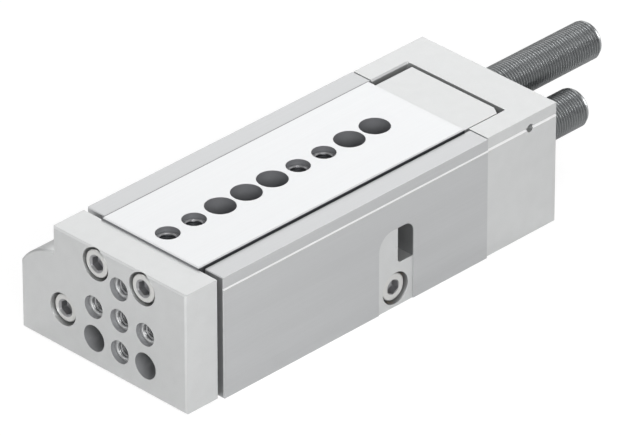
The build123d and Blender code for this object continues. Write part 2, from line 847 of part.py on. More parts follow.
def advance_stop_pad():
    limits = (stop_pad_face, stop_pad_face + stop_pad_thickness)
    return bar_x(stop_pad_radius, limits, advance_y, advance_z)


def retract_stop_lug():
    """The lug under the slide bar that meets the fixed absorber."""
    lug = block(
        (stop_lug_rear, stop_lug_front),
        (stop_lug_y - stop_lug_half_width, stop_lug_y + stop_lug_half_width),
        (stop_lug_bottom, slide_bottom),
    )
    seat = (stop_lug_bottom, stop_lug_bottom + m3[2])
    through = (stop_lug_bottom, slide_bottom)
    for y in lug_screw_rows:
        lug -= bar_z(m3[0] + screw_clearance / 2, lug_screw_x, y, through)
        lug -= bar_z(m3[1] + head_clearance / 2, lug_screw_x, y, seat)
    return lug


def stop_lug_screws():
    seat = stop_lug_bottom + m3[2]
    places = [Pos(lug_screw_x, y, seat) * Rot(180, 0, 0) for y in lug_screw_rows]
    return group([place * cap_screw(m3, lug_screw_length) for place in places])


def clamp_bush():
    """A bush whose hollow flank is wedged against the fixed absorber."""
    radius = clamp_bore_radius - clamp_bush_gap
    bush = bar_y(radius, clamp_x, (clamp_bush_end, clamp_seat), clamp_z)
    bush -= bar_y(m5[0] + screw_clearance, clamp_x, (clamp_bush_end, clamp_seat), clamp_z)
    reach = (clamp_x - 2 * radius, clamp_x + 2 * radius)
    return bush - bar_x(absorber_radius + thread_gap, reach, retract_y, retract_z)


def clamp_screw():
    turn = Rot(-90, 0, 0)
    return Pos(clamp_x, clamp_seat, clamp_z) * turn * cap_screw(m5, clamp_screw_length)


def pieces():
    """Every separate piece of the slide by its node name."""
    made = {
        "housing": housing(),
        "rear_block": rear_block(),
        "rear_block_screws": rear_block_screws(),
        "rear_block_dowels": rear_block_dowels(),
        "cage_stop_pins": cage_stop_pins(),
        "rod_bearing": rod_bearing(),
        "rod_wiper": rod_wiper(),
        "bearing_seal": seal_ring(bearing_seal_x),
        "retaining_ring": retaining_ring(),
        "cylinder_end_cap": cylinder_end_cap(),
        "end_cap_seal": seal_ring(end_cap_seal_x),
        "retract_absorber": absorber(retract_front, retract_y, retract_z),
        "absorber_lock_nut": absorber_lock_nut(),
        "advance_stop_pad": advance_stop_pad(),
        "clamp_bush": clamp_bush(),
        "clamp_screw": clamp_screw(),
        "yoke_plate": yoke_plate(),
        "yoke_screws": yoke_screws(),
        "rod_screw": rod_screw(),
        "slide_bar": slide_bar(),
        "end_piece": end_piece(),
        "end_piece_screws": end_piece_screws(),
        "retract_stop_lug": retract_stop_lug(),
        "stop_lug_screws": stop_lug_screws(),
        "advance_absorber": absorber(advance_front, advance_y, advance_z),
        "piston_rod": piston_rod(),
        "piston": piston(),
        "piston_seals": piston_seals(),
        "piston_magnet": piston_magnet(),
        "piston_screw": piston_screw(),
        "advance_plunger": plunger(
            advance_front + plunger_stroke + plunger_seat, advance_y, advance_z
        ),
        "retract_plunger": plunger(retract_front + plunger_seat, retract_y, retract_z),
    }
    for side, name in ((-1, "left"), (1, "right")):
        made["guide_rail_" + name] = guide_rail(side)
        made["roller_cage_" + name] = roller_cage(side)
        made["rollers_" + name] = rollers(side)
    return made


os.makedirs("parts", exist_ok=True)
for node, shape in pieces().items():
    export_step(shape, "parts/" + node + ".step")
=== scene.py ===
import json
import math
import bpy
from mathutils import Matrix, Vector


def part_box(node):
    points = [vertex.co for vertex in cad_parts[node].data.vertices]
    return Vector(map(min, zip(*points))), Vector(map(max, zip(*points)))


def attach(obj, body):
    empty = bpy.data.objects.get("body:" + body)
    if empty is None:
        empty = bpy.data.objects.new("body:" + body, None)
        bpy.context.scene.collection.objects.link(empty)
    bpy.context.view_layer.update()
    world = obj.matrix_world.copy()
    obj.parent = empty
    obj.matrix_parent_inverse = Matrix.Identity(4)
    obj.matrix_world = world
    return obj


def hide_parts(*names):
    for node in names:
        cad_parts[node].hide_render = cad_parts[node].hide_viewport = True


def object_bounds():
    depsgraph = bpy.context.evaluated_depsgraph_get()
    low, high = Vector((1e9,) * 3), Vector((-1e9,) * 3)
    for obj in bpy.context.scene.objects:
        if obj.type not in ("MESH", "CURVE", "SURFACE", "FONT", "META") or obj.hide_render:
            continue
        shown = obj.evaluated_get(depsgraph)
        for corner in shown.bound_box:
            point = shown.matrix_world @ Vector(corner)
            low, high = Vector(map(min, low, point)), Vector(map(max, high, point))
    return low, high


bl_info = {
    "name": "Pneumatic Mini Slide",
    "version": (1, 0, 0),
    "blender": (4, 5, 0),
    "location": "3D View > Sidebar > Mini Slide",
    "description": "Dresses a compact pneumatic slide table and sets it in a plain studio",
    "category": "Object",
}

import bpy
from bpy.props import FloatProperty, IntProperty, PointerProperty, StringProperty
from mathutils import Matrix, Vector

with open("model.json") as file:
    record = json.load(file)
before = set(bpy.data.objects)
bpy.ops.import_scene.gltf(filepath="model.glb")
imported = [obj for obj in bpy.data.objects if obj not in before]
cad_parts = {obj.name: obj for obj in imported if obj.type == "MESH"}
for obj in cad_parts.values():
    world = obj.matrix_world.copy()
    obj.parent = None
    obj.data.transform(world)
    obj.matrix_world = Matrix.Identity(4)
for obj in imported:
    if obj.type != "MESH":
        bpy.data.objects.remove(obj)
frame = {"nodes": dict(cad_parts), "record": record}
cad_low, cad_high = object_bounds()

MM = 0.001


def srgb(code):
    """A linear colour from an sRGB hex value."""
    parts = [int(code[i : i + 2], 16) / 255 for i in (0, 2, 4)]
    return tuple(p / 12.92 if p <= 0.04045 else ((p + 0.055) / 1.055) ** 2.4 for p in parts) + (1,)


class FinishSettings(bpy.types.PropertyGroup):
    """Colours and grain sizes of the finishes."""

    housing_colour: StringProperty(
        name="Housing", description="Anodised colour of the drawn housing", default="C0C1C2"
    )
    recess_colour: StringProperty(
        name="Milled recess",
        description="Tone of the recess milled into the side",
        default="D0D1D1",
    )
    # Painted highlight: the groove's upward flanks take this near-white tone.
    groove_highlight_colour: StringProperty(
        name="Side groove", description="Bright tone of the groove along the side", default="F4F4F4"
    )
    groove_drop: FloatProperty(
        name="Groove drop",
        description="Height of the housing's top above its side groove",
        default=3.7 * MM,
        unit="LENGTH",
        precision=5,
    )
    # Painted shade: the slot's walls take this darker tone, its floor stays pale.
    slot_wall_shade_colour: StringProperty(
        name="Slot walls",
        description="Tone of the walls of the slot in the recess",
        default="9A9B9C",
    )
    milled_colour: StringProperty(
        name="Milled parts", description="Anodised colour of yoke and rear block", default="D2D3D3"
    )
    # Painted shade: the walls of the yoke's bores take this darker tone.
    yoke_bore_shade_colour: StringProperty(
        name="Yoke bores", description="Colour of the bored walls in the yoke", default="97989A"
    )
    slide_colour: StringProperty(
        name="Slide bar", description="Colour of the ground slide bar", default="D9DADB"
    )
    flank_colour: StringProperty(
        name="Slide flanks", description="Hardened colour of the unground flanks", default="56575A"
    )
    # Painted shade: the slide bar's bored walls and a line along one top edge take this tone.
    slide_shade_colour: StringProperty(
        name="Slide bores",
        description="Colour of the bored walls in the slide bar",
        default="7C7D80",
    )
    screw_colour: StringProperty(
        name="Screws", description="Colour of the plated screws", default="D2D2D0"
    )
    # Painted shade: the sockets, their bevels and the slide bar's hole seats take this tone.
    socket_shade_colour: StringProperty(
        name="Sockets", description="Colour inside the sockets of the screws", default="A0A0A2"
    )
    tapped_colour: StringProperty(
        name="Tapped holes", description="Colour of the bare cut threads", default="B4B5B6"
    )
    absorber_colour: StringProperty(
        name="Absorbers", description="Colour of the plated absorber bodies", default="A3A5A6"
    )
    grain_spacing: FloatProperty(
        name="Grain spacing",
        description="Distance between the drawn lines of the housing",
        default=0.35 * MM,
        unit="LENGTH",
        precision=5,
    )
    blast_grit: FloatProperty(
        name="Blast grit",
        description="Size of the pits that blasting leaves on the milled parts",
        default=0.25 * MM,
        unit="LENGTH",
        precision=5,
    )
    edge_radius: FloatProperty(
        name="Edge radius",
        description="Radius that tumbling leaves on every sharp edge",
        default=0.12 * MM,
        unit="LENGTH",
        precision=5,
    )
    recess_depth: FloatProperty(
        name="Recess depth",
        description="Depth of the recess milled into the housing's side",
        default=0.3 * MM,
        unit="LENGTH",
        precision=5,
    )


class ScrewSettings(bpy.types.PropertyGroup):
    """Form of the cap screws that the standard sizes leave open."""

    knurls: IntProperty(
        name="Knurls", description="Ribs round the side of a screw's head", default=32, min=8
    )
    knurl_depth: FloatProperty(
        name="Knurl depth",
        description="Depth of the ribs on a screw's head",
        default=0.1 * MM,
        unit="LENGTH",
        precision=5,
    )
    round_over: FloatProperty(
        name="Round-over",
        description="Radius at the top edge of a screw's head",
        default=0.45 * MM,
        unit="LENGTH",
        precision=5,
    )
    socket_bevel: FloatProperty(
        name="Socket bevel",
        description="Width of the bevel outside the corners of a screw's socket",
        default=0.4 * MM,
        unit="LENGTH",
        precision=5,
    )


class ThreadSettings(bpy.types.PropertyGroup):
    """Pitches of the threads."""

    absorber_pitch: FloatProperty(
        name="Absorber pitch",
        description="Pitch of the fine thread on the absorbers",
        default=1.0 * MM,
        unit="LENGTH",
        precision=5,
    )
    tapped_pitch: FloatProperty(
        name="Tapped pitch",
        description="Pitch of the tapped fixing holes",
        default=0.8 * MM,
        unit="LENGTH",
        precision=5,
    )


class StageSettings(bpy.types.PropertyGroup):
    """Camera, lamps and floor."""

    lens: FloatProperty(
        name="Lens", description="Focal length of the camera in millimetres", default=480.0, min=1.0
    )
    sheen_power: FloatProperty(
        name="Sheen lamp", description="Power of the large lamp behind, in watts", default=3.5
    )
    side_power: FloatProperty(
        name="Side lamp", description="Power of the lamp beside the housing, in watts", default=3.0
    )
    front_power: FloatProperty(
        name="Front lamp", description="Power of the lamp before the yoke, in watts", default=1.0
    )
    left_power: FloatProperty(
        name="Left lamp", description="Power of the lamp left of the yoke, in watts", default=1.6
    )
    strip_power: FloatProperty(
        name="Strip lamp",
        description="Power of the small lamp above the rear, in watts",
        default=1.4,
    )
    right_power: FloatProperty(
        name="Right lamp", description="Power of the lamp behind and right, in watts", default=1.0
    )
    sky: FloatProperty(
        name="Sky", description="Brightness of the room round the object", default=0.31, min=0.0
    )
    glow: FloatProperty(
        name="Floor glow", description="How white the camera sees the floor", default=0.8, max=1.0
    )
    floor_colour: StringProperty(
        name="Floor", description="Colour of the pale floor", default="F4F4F4"
    )


# Where a blend of tones starts and ends, the size of the broad clouds against the fine
# grain, and how far the roughness swings to either side.
TONE_STOPS = (0.35, 0.65)
CLOUD_SCALE = 0.05
ROUGHNESS_SWING = 0.05
RELIEF_STRENGTH = 0.3
# How metallic a drawn, blasted or ground skin looks.
SATIN = 0.85
# How far a part of a normal may be off and still count as upright or level.
LEAN = 0.3


def add(tree, kind, sockets=None, **settings):
    """Adds one node, with its properties, its socket values and the links into it."""
    node = tree.nodes.new(kind)
    for key, value in settings.items():
        setattr(node, key, value)
    for key, value in (sockets or {}).items():
        if isinstance(value, bpy.types.NodeSocket):
            tree.links.new(value, node.inputs[key])
        else:
            node.inputs[key].default_value = value
    return node


def new_material(name):
    """An empty material and its node tree."""
    material = bpy.data.materials.new(name)
    material.use_nodes = True
    material.node_tree.nodes.clear()
    return material, material.node_tree


def tones(tree, factor, dark, light):
    """A soft blend between two close tones of one colour."""
    ramp = add(tree, "ShaderNodeValToRGB", {"Fac": factor})
    for stop, position, tone in zip(ramp.color_ramp.elements, TONE_STOPS, (dark, light)):
        stop.position = position
        stop.color = tone
    return ramp.outputs["Color"]


def shade(colour, factor):
    """The same colour, darker or lighter."""
    return tuple(min(1.0, c * factor) for c in colour[:3]) + (1,)


def surface(
    tree,
    here,
    code,
    grain,
    stretch=1.0,
    rough=0.4,
    depth=0.01,
    metallic=1.0,
    spread=0.03,
    edge=1.0,
):
    """One worked surface: its tone, its sheen and its relief, with a depth in millimetres.

    A stretch above one draws the grain out along X, as drawing and grinding do. An edge
    below one keeps its edges sharper than those of the other pieces.
    """
    colour = srgb(code)
    lines = add(tree, "ShaderNodeMapping", {"Vector": here, "Scale": (1 / stretch, 1, 1)})
    lines = lines.outputs["Vector"]
    fine = add(tree, "ShaderNodeTexNoise", {"Vector": lines, "Scale": 1 / grain, "Detail": 3.0})
    broad = add(
        tree, "ShaderNodeTexNoise", {"Vector": lines, "Scale": CLOUD_SCALE / grain, "Detail": 2.0}
    )
    both = joined(tree, fine.outputs["Fac"], broad.outputs["Fac"], "ADD")
    half = joined(tree, both, 0.5)
    base = tones(tree, half, shade(colour, 1 - spread), shade(colour, 1 + spread))
    low, high = rough - ROUGHNESS_SWING, rough + ROUGHNESS_SWING
    roughness = add(tree, "ShaderNodeMapRange", {"Value": half, "To Min": low, "To Max": high})
    radius = edge * settings().finish.edge_radius
    rounded = add(tree, "ShaderNodeBevel", {"Radius": radius}, samples=4)
    bump = add(
        tree,
        "ShaderNodeBump",
        {
            "Height": fine.outputs["Fac"],
            "Strength": RELIEF_STRENGTH,
            "Distance": depth * MM,
            "Normal": rounded.outputs["Normal"],
        },
    )
    shader = add(
        tree,
        "ShaderNodeBsdfPrincipled",
        {
            "Base Color": base,
            "Metallic": metallic,
            "Roughness": roughness.outputs["Result"],
            "Normal": bump.outputs["Normal"],
        },
    )
    return shader.outputs["BSDF"]


def within(tree, vector, axis, middle, reach, both_sides=False):
    """One where a vector's part along an axis lies within reach of a middle, else zero."""
    part = add(tree, "ShaderNodeSeparateXYZ", {"Vector": vector}).outputs[axis]
    if both_sides:
        part = add(tree, "ShaderNodeMath", {0: part}, operation="ABSOLUTE").outputs[0]
    test = add(tree, "ShaderNodeMath", {0: part, 1: middle, 2: reach}, operation="COMPARE")
    return test.outputs[0]


def joined(tree, first, second, operation="MULTIPLY"):
    """Two masks or values as one. Multiplied, both must hold, and with MAXIMUM either."""
    return add(tree, "ShaderNodeMath", {0: first, 1: second}, operation=operation).outputs[0]


def patched(tree, factor, first, second):
    """The second surface where the factor is one, the first elsewhere."""
    mix = add(tree, "ShaderNodeMixShader", {0: factor, 1: first, 2: second})
    return mix.outputs["Shader"]


def boxed(tree, here, limits):
    """One inside a box, which has a middle and a reach in millimetres for each axis."""
    mask = 1.0
    for axis, (middle, reach) in limits.items():
        mask = joined(tree, within(tree, here, axis, middle * MM, reach * MM), mask)
    return mask


# The slot in the housing's recess, between the sides of the recess that it opens into.
SLOT = {"X": (-18.9, 3.0), "Y": (21.5, 4.5), "Z": (19.45, 5.8)}
# The yoke's bores, whose walls get painted shade: the column of the middle holes, and below the
# screws the whole cross.
YOKE_COLUMN = {"Y": (0.0, 3.7)}
YOKE_CROSS = {"Y": (0.0, 14.5), "Z": (14.0, 14.0)}
YOKE_BORES = {"Z": (19.0, 17.5)}


def groove_highlighted(tree, space, chosen, skin):
    """A skin whose V groove along the side has its upward flanks painted near white: a painted
    highlight.
    """
    here, normal = space.outputs["Object"], space.outputs["Normal"]
    cut = surface(
        tree, here, chosen.groove_highlight_colour, chosen.blast_grit, depth=0.005, metallic=SATIN
    )
    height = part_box("housing")[1].z - chosen.groove_drop
    near = within(tree, here, "Z", height, 0.6 * MM)
    # Only the flanks of the groove lean upward by about 45 degrees; there the near-white tone
    # paints a highlight.
    highlight_flanks = within(tree, normal, "Z", 0.7, 0.25)
    return patched(tree, joined(tree, near, highlight_flanks), skin, cut)


# Extruded and anodised: fine lines run the length of the body and grey it slightly.
# The recess in its side is milled after drawing, so it is paler and has no lines. The walls
# of the deep slot are painted darker than its floor: painted shade inside the slot.
def extruded_anodised_aluminium(tree, space, chosen):
    here, normal = space.outputs["Object"], space.outputs["Normal"]
    skin = surface(
        tree,
        here,
        chosen.housing_colour,
        chosen.grain_spacing,
        stretch=60.0,
        rough=0.42,
        depth=0.02,
        metallic=SATIN,
    )
    cut = {"depth": 0.015, "metallic": SATIN}
    milled = surface(tree, here, chosen.recess_colour, chosen.blast_grit, rough=0.46, **cut)
    shaded_slot_walls = surface(tree, here, chosen.slot_wall_shade_colour, chosen.blast_grit, rough=0.5, **cut)
    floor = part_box("housing")[1].y - chosen.recess_depth
    outside = patched(tree, within(tree, here, "Y", floor, 0.05 * MM), skin, milled)
    # Inside the slot, all but the upward floor get the painted shade.
    inside = patched(tree, within(tree, normal, "Z", 1.0, LEAN), shaded_slot_walls, milled)
    return groove_highlighted(tree, space, chosen, patched(tree, boxed(tree, here, SLOT), outside, inside))


# Milled, blasted and anodised: an even, soft sheen with no direction.
def blasted_anodised_aluminium(tree, space, chosen):
    return surface(
        tree,
        space.outputs["Object"],
        chosen.milled_colour,
        chosen.blast_grit,
        rough=0.46,
        depth=0.015,
        metallic=SATIN,
    )


# Milled and blasted, with the groove of the housing carried on along its side and the same painted
# highlight on the groove's flanks.
def blasted_and_scored_aluminium(tree, space, chosen):
    return groove_highlighted(tree, space, chosen, blasted_anodised_aluminium(tree, space, chosen))


# Milled and blasted as the rest, but the walls of the bores are painted darker: painted shade
# inside the holes.
def blasted_and_bored_aluminium(tree, space, chosen):
    here, normal = space.outputs["Object"], space.outputs["Normal"]
    skin = blasted_anodised_aluminium(tree, space, chosen)
    painted_shade = surface(
        tree, here, chosen.yoke_bore_shade_colour, chosen.blast_grit, rough=0.42, metallic=0.4, spread=0.05
    )
    column, cross = boxed(tree, here, YOKE_COLUMN), boxed(tree, here, YOKE_CROSS)
    region = joined(tree, column, cross, "MAXIMUM")
    wall = joined(tree, within(tree, normal, "X", 0.0, LEAN), boxed(tree, here, YOKE_BORES))
    return patched(tree, joined(tree, region, wall), skin, painted_shade)


# Ground bright along its length on top, with hardly visible lines. The bored walls are
# painted a soft mid grey, painted shade inside the holes, and the flanks stay as hardened,
# a dark grey. A narrow line along one top edge is painted the same mid grey: painted shade
# along that edge.
def ground_bright_steel(tree, space, chosen):
    here, normal = space.outputs["Object"], space.outputs["Normal"]
    ground = surface(
        tree,
        here,
        chosen.slide_colour,
        0.5 * MM,
        stretch=90.0,
        rough=0.42,
        depth=0.006,
        metallic=SATIN,
        spread=0.02,
    )
    painted_shade = surface(
        tree, here, chosen.slide_shade_colour, 0.3 * MM, rough=0.5, metallic=0.3, spread=0.04
    )
    hardened = surface(tree, here, chosen.flank_colour, 0.5 * MM, metallic=0.7, spread=0.05)
    low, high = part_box("slide_bar")
    flank = within(tree, here, "Y", high.y, 0.3 * MM, both_sides=True)
    # Painted shade: a narrow line along the low edge of the top takes the darker bored grey.
    edge_shade = within(tree, here, "Y", low.y, 0.6 * MM)
    top = patched(tree, edge_shade, ground, painted_shade)
    upright = within(tree, normal, "Z", 0.0, LEAN)
    return patched(tree, upright, top, patched(tree, flank, painted_shade, hardened))


def plain(code, grain, **looks):
    """A recipe of one surface, whose colour is a setting's name or a hex value."""
    return lambda tree, space, chosen: surface(
        tree, space.outputs["Object"], getattr(chosen, code, code), grain * MM, **looks
    )


# Each finish by its name, with what it gives the eye.
RECIPES = {
    "extruded_anodised_aluminium": extruded_anodised_aluminium,
    "blasted_anodised_aluminium": blasted_anodised_aluminium,
    "blasted_and_scored_aluminium": blasted_and_scored_aluminium,
    "blasted_and_bored_aluminium": blasted_and_bored_aluminium,
    "ground_bright_steel": ground_bright_steel,
    # Zinc-plated steel: bright, a little cloudy.
    "plated_screw_steel": plain(
        "screw_colour", 0.4, rough=0.32, depth=0.008, metallic=0.8, spread=0.05
    ),
    # Painted shade: the socket of each screw and the bevel at its mouth are painted a darker
    # grey than the plated head. The seats of the slide bar's tapped holes have the same tone,
    # the same painted shade.
    "bare_forged_steel": plain("socket_shade_colour", 0.3, metallic=0.9, spread=0.06),
    # Cut by the tap after anodising: the turns are bare and shiny.
    "tapped_bare_aluminium": plain("tapped_colour", 0.2, rough=0.42, depth=0.006, spread=0.05),
    # Tapped before hardening: the turns are as dark as the flanks.
    "tapped_hardened_steel": plain(
        "flank_colour", 0.2, depth=0.006, metallic=0.9, spread=0.05
    ),
    # Dark nickel on rolled threads: sharp highlights along the crests.
    "dark_plated_steel": plain(
        "absorber_colour", 0.4, rough=0.34, depth=0.006, spread=0.05, edge=0.2
    ),
    # Hardened and polished: mirror bright with a trace of polishing.
    "polished_bearing_steel": plain("D2D3D6", 0.6, rough=0.14, depth=0.004),
    # Turned bearing bronze: warm, softly glossy.
    "turned_bronze": plain("C79A5B", 0.4, rough=0.32),
    # Moulded nitrile rubber: matt black with a faint bloom.
    "moulded_nitrile_rubber": plain(
        "232324", 0.3, rough=0.7, depth=0.02, metallic=0.0, spread=0.15
    ),
    # Plastic-bonded ferrite: dull and dark, slightly grainy.
    "bonded_ferrite": plain("3A3A3D", 0.35, rough=0.55, depth=0.02, metallic=0.0, spread=0.12),
}
finishes = {}


def settings():
    """The settings that the panel shows."""
    return bpy.context.scene.mini_slide


def finish_named(name):
    """Makes each finish once, when a piece first asks for it."""
    if name not in finishes:
        material, tree = new_material(name)
        space = add(tree, "ShaderNodeTexCoord")
        shader = RECIPES[name](tree, space, settings().finish)
        add(tree, "ShaderNodeOutputMaterial", {"Surface": shader})
        finishes[name] = material
    return finishes[name]


def dress(obj, *names):
    """Gives a piece its finish, or several for its slots."""
    obj.data.materials.clear()
    for name in names:
        obj.data.materials.append(finish_named(name))


def smooth(obj, angle=30.0):
    """Shades a piece smooth and keeps its edges sharp."""
    mesh = obj.data
    mesh.shade_smooth()
    mesh.set_sharp_from_angle(angle=math.radians(angle))


def finish_nodes(wanted):
    """Shades CAD pieces smooth and gives each its finish."""
    for node, finish in wanted.items():
        obj = frame["nodes"][node]
        smooth(obj)
        dress(obj, finish)


def place(name, points, faces, body):
    """Makes a mesh piece that rides on a body."""
    mesh = bpy.data.meshes.new(name)
    mesh.from_pydata(points, [], faces)
    mesh.validate()
    mesh.update()
    obj = bpy.data.objects.new(name, mesh)
    bpy.context.scene.collection.objects.link(obj)
    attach(obj, body)
    return obj


def circle(radius):
    """A ring profile with one radius."""
    return lambda turn: radius


def hexagon(flats):
    """A ring profile with six flat sides."""
    sixth = math.pi / 3
    return lambda turn: flats / 2 / math.cos((turn % sixth) - sixth / 2)


def knurled(radius, ribs, depth):
    """A ring profile with ribs round it."""
    return lambda turn: radius - depth * (0.5 - 0.5 * math.cos(turn * ribs))


def spun(matrix, radius, angle, height):
    """A point at a radius and an angle round Z, moved by a matrix."""
    return matrix @ Vector((radius * math.cos(angle), radius * math.sin(angle), height))


def turned(rings, steps, matrix, downward=False):
    """Joins rings along Z into a closed skin. Each ring is its height and its profile.

    The outside runs up Z, or down it where the rings come in that order.
    """
    points, faces = [], []
    for height, profile in rings:
        for i in range(steps):
            turn = 2 * math.pi * i / steps
            points.append(spun(matrix, profile(turn), turn, height))
    for row in range(len(rings) - 1):
        for i in range(steps):
            a, b = row * steps + i, row * steps + (i + 1) % steps
            faces.append((a, b, b + steps, a + steps))
    faces.append(tuple(reversed(range(steps))))
    last = (len(rings) - 1) * steps
    faces.append(tuple(range(last, last + steps)))
    if downward:
        faces = [face[::-1] for face in faces]
    return points, faces


def helix(crest, root, pitch, start, end, steps, matrix, lead=0.7 * MM):
    """A thread along Z between two heights. The crest fades into the root at both ends."""
    # The form of one turn, as shares of the pitch and the radius there.
    shape = ((0.0, root), (0.25, root), (0.55, crest), (0.7, crest))
    turns = int(math.ceil((end - start) / pitch)) + 1
    points, faces = [], []
    rows = [(turn + share, radius) for turn in range(-1, turns) for share, radius in shape]
    for share, radius in rows:
        for i in range(steps + 1):
            height = start + (share + i / steps) * pitch
            height = min(max(height, start), end)
            margin = min(height - start, end - height)
            fade = min(1.0, margin / lead)
            here = root + (radius - root) * fade
            points.append(spun(matrix, here, 2 * math.pi * i / steps, height))
    wide = steps + 1
    for row in range(len(rows) - 1):
        for i in range(steps):
            a = row * wide + i
            quad = (a, a + 1, a + 1 + wide, a + wide)
            faces.append(quad if crest > root else quad[::-1])
    return points, faces


def revolved(section, steps, matrix):
    """A closed section of radius and height, turned once round Z."""
    points, faces = [], []
    for i in range(steps):
        angle = 2 * math.pi * i / steps
        points += [spun(matrix, radius, angle, height) for radius, height in section]
    wide = len(section)
    for i in range(steps):
        for k in range(wide):
            a, b = i * wide + k, i * wide + (k + 1) % wide
            c, d = (b + wide) % len(points), (a + wide) % len(points)
            faces.append((a, b, c, d))
    return points, faces


def along(direction, at, spin=0.0):
    """A matrix that turns Z into a direction, after a spin, and moves the origin."""
    turn = Vector((0, 0, 1)).rotation_difference(Vector(direction)).to_matrix().to_4x4()
    return Matrix.Translation(at) @ turn @ Matrix.Rotation(spin, 4, "Z")


def merged(parts):
    """Several skins as one list of points and one of faces."""
    points, faces = [], []
    for more_points, more_faces in parts:
        shift = len(points)
        points += more_points
        faces += [tuple(i + shift for i in face) for face in more_faces]
    return points, faces


def tidy(obj):
    """Closes the seams of a helix by joining points that coincide."""
    weld = obj.modifiers.new("weld", "WELD")
    weld.merge_threshold = 0.002 * MM


# The radius at which a skin closes on its axis.
POINT = 0.02 * MM
# Steps round a screw; its first three rows of faces line the socket and its bevel, which are
# painted darker as painted shade.
SCREW_STEPS = 96
SHADED_SOCKET_FACES = 3 * SCREW_STEPS
ROUND_STEPS = 4
SCREW_TURN_STEPS = 24
# Shank radius, head radius, head height, key, key depth and pitch, in millimetres.
SCREW_SIZES = {
    "M3": (1.5, 2.75, 3.0, 2.5, 1.6, 0.5),
    "M4": (2.0, 3.5, 4.0, 3.0, 2.0, 0.7),
    "M5": (2.5, 4.25, 5.0, 4.0, 2.5, 0.8),
}
# Depth of a screw's thread as a share of its pitch, and the longest thread it has.
THREAD_DEPTH = 0.61
LONGEST_THREAD = 16 * MM


def cap_screw(size, length, direction, seat, spin, bevel):
    """A socket head cap screw. The seat is under its head, the direction leaves its head."""
    shank, head, height, key, key_depth, pitch = (v * MM for v in SCREW_SIZES[size])
    chosen = settings().screws
    over = chosen.round_over
    ribs = knurled(head, chosen.knurls, chosen.knurl_depth)
    core = shank - THREAD_DEPTH * pitch
    # The socket, from the point left by its drill up to the bevel at its mouth.
    rings = [(height - key_depth - 0.25 * key, circle(POINT))]
    rings += [(height - key_depth, hexagon(key))]
    rings += [(height - 0.05 * MM - bevel, hexagon(key))]
    rings += [(height, circle(key / math.sqrt(3) + bevel))]
    for step in range(ROUND_STEPS + 1):
        angle = math.pi / 2 * step / ROUND_STEPS
        reach = head - over + over * math.sin(angle)
        rings.append((height - over + over * math.cos(angle), circle(reach)))
    # The ribbed side, the chamfered foot under it, and the relief of the shank.
    foot, ribs_end, relief = 0.15 * MM, 0.35 * MM, 0.35 * MM
    thin = shank - 0.05 * MM
    rings += [(height - over - 0.1 * MM, ribs), (ribs_end, ribs)]
    rings += [(foot, circle(head - chosen.knurl_depth)), (0.0, circle(head - 0.25 * MM))]
    rings += [(0.0, circle(shank)), (-relief, circle(thin))]
    grip = length - min(length - 2 * pitch, LONGEST_THREAD)
    rings += [(-grip, circle(thin)), (-grip, circle(core))]
    rings += [(0.5 * pitch - length, circle(core)), (-length, circle(core - 0.3 * MM))]
    matrix = along(direction, seat, spin)
    body = turned(rings, SCREW_STEPS, matrix, downward=True)
    start = -length + 0.4 * MM
    crest, root = shank - 0.03 * MM, core - 0.01 * MM
    thread = helix(crest, root, pitch, start, -grip, SCREW_TURN_STEPS, matrix)
    return merged([body, thread])


class MINISLIDE_OT_bodies(bpy.types.Operator):
    """Finishes the housing, rear block, yoke, slide bar and end piece"""

    bl_idname = "mini_slide.bodies"
    bl_label = "Bodies"

    def execute(self, context):
        wanted = {
            "housing": "extruded_anodised_aluminium",
            "rear_block": "blasted_and_scored_aluminium",
            "yoke_plate": "blasted_and_bored_aluminium",
            "end_piece": "blasted_anodised_aluminium",
            "slide_bar": "ground_bright_steel",
        }
        finish_nodes(wanted)
        return {"FINISHED"}


class MINISLIDE_OT_screws(bpy.types.Operator):
    """Puts detailed cap screws where the plain ones are"""

    bl_idname = "mini_slide.screws"
    bl_label = "Cap screws"

    def execute(self, context):
        # For each node: size, length, direction, spin in degrees, share of the bevel, body.
        groups = [
            ("yoke_screws", "M5", 20.0, (1, 0, 0), 0, 1.0, "carriage"),
            ("rod_screw", "M5", 20.0, (1, 0, 0), 0, 1.0, "carriage"),
            ("clamp_screw", "M5", 30.0, (0, 1, 0), 30, 0.1, "base"),
            ("rear_block_screws", "M4", 34.0, (-1, 0, 0), 0, 1.0, "base"),
            ("end_piece_screws", "M3", 20.0, (-1, 0, 0), 0, 1.0, "carriage"),
            ("stop_lug_screws", "M3", 20.0, (0, 0, -1), 0, 1.0, "carriage"),
            ("piston_screw", "M4", 18.0, (-1, 0, 0), 0, 1.0, "carriage"),
        ]
        slack = 0.5 * MM
        for node, size, length, direction, degrees, share, body in groups:
            spin = math.radians(degrees)
            bevel = share * settings().screws.socket_bevel
            axis = max(range(3), key=lambda i: abs(direction[i]))
            head = SCREW_SIZES[size][2] * MM
            skins = []
            for low, high in islands(node):
                if length * MM + head > (high - low)[axis] + slack:
                    raise RuntimeError("A screw of " + node + " is longer than its place")
                far = high if sum(direction) > 0 else low
                seat = (low + high) / 2
                seat[axis] = far[axis] - direction[axis] * head
                skins.append(cap_screw(size, length * MM, direction, seat, spin, bevel))
            points, faces = merged(skins)
            obj = place(node + "_detailed", points, faces, body)
            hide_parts(node)
            smooth(obj, 40.0)
            dress(obj, "plated_screw_steel", "bare_forged_steel")
            per_screw = len(faces) // len(skins)
            # The socket's faces get the painted shade.
            for face in obj.data.polygons:
                face.material_index = int(face.index % per_screw < SHADED_SOCKET_FACES)
        return {"FINISHED"}


